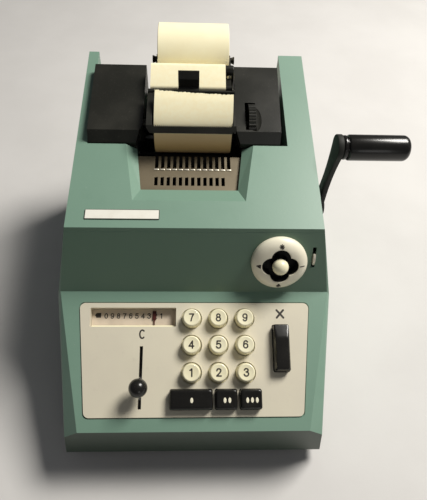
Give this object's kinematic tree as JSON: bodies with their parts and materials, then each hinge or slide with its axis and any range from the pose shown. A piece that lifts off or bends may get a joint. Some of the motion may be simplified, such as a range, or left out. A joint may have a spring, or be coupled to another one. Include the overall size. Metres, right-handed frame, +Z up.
{
  "type": "ten-key adding machine",
  "caption": "Hand-cranked ten-key adding machine with a sloping painted housing, cream keyboard panel, selector dial, printing window and a paper roll behind.",
  "frame": {"origin": "Centre of the flat underside of the base plate; the rubber feet reach below it.", "axes": "+X to the crank's side, +Y from the keyboard to the back, +Z up from the desk."},
  "size_m": [0.2684, 0.3158, 0.1938],
  "materials": {
    "housing_paint": "semi-gloss",
    "black_paint": "semi-gloss",
    "panel_plastic": "matte",
    "ivory_plastic": "glossy",
    "black_plastic": "glossy",
    "rubber": "matte",
    "paper": "matte",
    "comb_finish": "satin",
    "brass": "satin",
    "pointer_red": "satin",
    "steel": "satin"
  },
  "bodies": {
    "base": {"base_plate": "steel", "rubber_feet": "rubber", "foot_screws": "steel", "lower_housing": "housing_paint", "top_cover": "housing_paint", "print_cover_left": "black_paint", "print_cover_right": "black_paint", "keypad_panel": "panel_plastic", "window_lens": "panel_plastic", "digit_scale": "ivory_plastic", "name_plate": "ivory_plastic", "frame_left": "steel", "frame_right": "steel", "tie_rods": "steel", "shaft_bushes": "brass", "roll_bracket": "steel", "paper_strip": "paper", "paper_chute": "steel", "tear_bar": "steel", "paper_finger": "black_plastic", "comb_plate": "comb_finish", "key_guide_plate": "steel", "carriage_rods": "steel", "selector_dial": "panel_plastic", "selector_cup": "black_plastic"},
    "crank": {"crank_arm": "black_paint", "main_shaft": "steel", "drive_sector": "steel", "grip_pin": "steel"},
    "grip": {"crank_grip": "black_plastic"},
    "cams": {"cam_shaft": "steel"},
    "type": {"type_bars": "steel"},
    "platen": {"platen_roller": "rubber", "platen_shaft": "steel", "thumbwheel": "black_plastic"},
    "feed": {"feed_roller": "rubber"},
    "ink": {"ink_roller": "rubber"},
    "roll": {"paper_roll": "paper", "roll_spindle": "steel"},
    "key_1": {"key_1": "ivory_plastic"},
    "key_2": {"key_2": "ivory_plastic"},
    "key_3": {"key_3": "ivory_plastic"},
    "key_4": {"key_4": "ivory_plastic"},
    "key_5": {"key_5": "ivory_plastic"},
    "key_6": {"key_6": "ivory_plastic"},
    "key_7": {"key_7": "ivory_plastic"},
    "key_8": {"key_8": "ivory_plastic"},
    "key_9": {"key_9": "ivory_plastic"},
    "key_0": {"key_0": "black_plastic"},
    "key_00": {"key_00": "black_plastic"},
    "key_000": {"key_000": "black_plastic"},
    "multiply_key": {"multiply_key": "black_plastic"},
    "carriage": {"pin_carriage": "steel", "column_pointer": "pointer_red"},
    "correction": {"correction_lever": "steel", "correction_knob": "black_plastic"},
    "gimbal": {"gimbal_ring": "steel"},
    "stick": {"selector_stick": "steel", "selector_knob": "ivory_plastic"},
    "status": {"status_lever": "steel"}
  },
  "joints": [
    {"name": "crank_swing", "type": "hinge", "parent": "base", "child": "crank", "pos_m": [0, 0.0434, 0.07632], "axis": [1, 0, 0], "range_deg": [0, 100], "stiffness_Nm_per_rad": 0.35, "springref_deg": -20.05},
    {"name": "grip_turn", "type": "hinge", "parent": "crank", "child": "grip", "pos_m": [0, 0.03574, 0.14912], "axis": [1, 0, 0], "continuous": true},
    {"name": "cam_turn", "type": "hinge", "parent": "base", "child": "cams", "pos_m": [0, 0.0346, 0.02304], "axis": [1, 0, 0], "range_deg": [-200, 0]},
    {"name": "type_lift", "type": "slide", "parent": "base", "child": "type", "axis": [0, 0, 1], "range_m": [0, 0.0144]},
    {"name": "platen_turn", "type": "hinge", "parent": "base", "child": "platen", "pos_m": [0, 0.0674, 0.14492], "axis": [1, 0, 0], "continuous": true},
    {"name": "feed_turn", "type": "hinge", "parent": "base", "child": "feed", "pos_m": [0, 0.06253, 0.11735], "axis": [1, 0, 0], "continuous": true},
    {"name": "ink_turn", "type": "hinge", "parent": "base", "child": "ink", "pos_m": [0, 0.0504, 0.12032], "axis": [1, 0, 0], "continuous": true},
    {"name": "roll_turn", "type": "hinge", "parent": "base", "child": "roll", "pos_m": [0, 0.1439, 0.15542], "axis": [1, 0, 0], "continuous": true},
    {"name": "key_1_press", "type": "slide", "parent": "base", "child": "key_1", "axis": [0, 0.3697, -0.9291], "range_m": [0, 0.0045], "stiffness_N_per_m": 180, "springref_m": -0.003},
    {"name": "key_2_press", "type": "slide", "parent": "base", "child": "key_2", "axis": [0, 0.3697, -0.9291], "range_m": [0, 0.0045], "stiffness_N_per_m": 180, "springref_m": -0.003},
    {"name": "key_3_press", "type": "slide", "parent": "base", "child": "key_3", "axis": [0, 0.3697, -0.9291], "range_m": [0, 0.0045], "stiffness_N_per_m": 180, "springref_m": -0.003},
    {"name": "key_4_press", "type": "slide", "parent": "base", "child": "key_4", "axis": [0, 0.3697, -0.9291], "range_m": [0, 0.0045], "stiffness_N_per_m": 180, "springref_m": -0.003},
    {"name": "key_5_press", "type": "slide", "parent": "base", "child": "key_5", "axis": [0, 0.3697, -0.9291], "range_m": [0, 0.0045], "stiffness_N_per_m": 180, "springref_m": -0.003},
    {"name": "key_6_press", "type": "slide", "parent": "base", "child": "key_6", "axis": [0, 0.3697, -0.9291], "range_m": [0, 0.0045], "stiffness_N_per_m": 180, "springref_m": -0.003},
    {"name": "key_7_press", "type": "slide", "parent": "base", "child": "key_7", "axis": [0, 0.3697, -0.9291], "range_m": [0, 0.0045], "stiffness_N_per_m": 180, "springref_m": -0.003},
    {"name": "key_8_press", "type": "slide", "parent": "base", "child": "key_8", "axis": [0, 0.3697, -0.9291], "range_m": [0, 0.0045], "stiffness_N_per_m": 180, "springref_m": -0.003},
    {"name": "key_9_press", "type": "slide", "parent": "base", "child": "key_9", "axis": [0, 0.3697, -0.9291], "range_m": [0, 0.0045], "stiffness_N_per_m": 180, "springref_m": -0.003},
    {"name": "key_0_press", "type": "slide", "parent": "base", "child": "key_0", "axis": [0, 0.3697, -0.9291], "range_m": [0, 0.0045], "stiffness_N_per_m": 180, "springref_m": -0.003},
    {"name": "key_00_press", "type": "slide", "parent": "base", "child": "key_00", "axis": [0, 0.3697, -0.9291], "range_m": [0, 0.0045], "stiffness_N_per_m": 180, "springref_m": -0.003},
    {"name": "key_000_press", "type": "slide", "parent": "base", "child": "key_000", "axis": [0, 0.3697, -0.9291], "range_m": [0, 0.0045], "stiffness_N_per_m": 180, "springref_m": -0.003},
    {"name": "multiply_key_press", "type": "slide", "parent": "base", "child": "multiply_key", "axis": [0, 0.3697, -0.9291], "range_m": [0, 0.0045], "stiffness_N_per_m": 180, "springref_m": -0.003},
    {"name": "carriage_step", "type": "slide", "parent": "base", "child": "carriage", "axis": [-1, 0, 0], "range_m": [-0.0045, 0.0405]},
    {"name": "correction_slide", "type": "slide", "parent": "base", "child": "correction", "axis": [0, 0.9291, 0.3697], "range_m": [-0.009, 0.024]},
    {"name": "selector_rise", "type": "hinge", "parent": "base", "child": "gimbal", "pos_m": [0.0611, -0.02896, 0.09912], "axis": [1, 0, 0], "range_deg": [-8, 8], "stiffness_Nm_per_rad": 0.05},
    {"name": "selector_sway", "type": "hinge", "parent": "gimbal", "child": "stick", "pos_m": [0.0611, -0.02896, 0.09912], "axis": [0, 0.3987, 0.9171], "range_deg": [-8, 8], "stiffness_Nm_per_rad": 0.05},
    {"name": "status_rock", "type": "hinge", "parent": "base", "child": "status", "pos_m": [0.0867, -0.03044, 0.10325], "axis": [1, 0, 0], "range_deg": [-12, 12]}
  ],
  "couplings": [
    {"joint": "cam_turn", "follows": "crank_swing", "ratio": -2},
    {"joint": "type_lift", "follows": "crank_swing", "m_per_rad": 0.008251},
    {"joint": "feed_turn", "follows": "platen_turn", "ratio": -2}
  ]
}
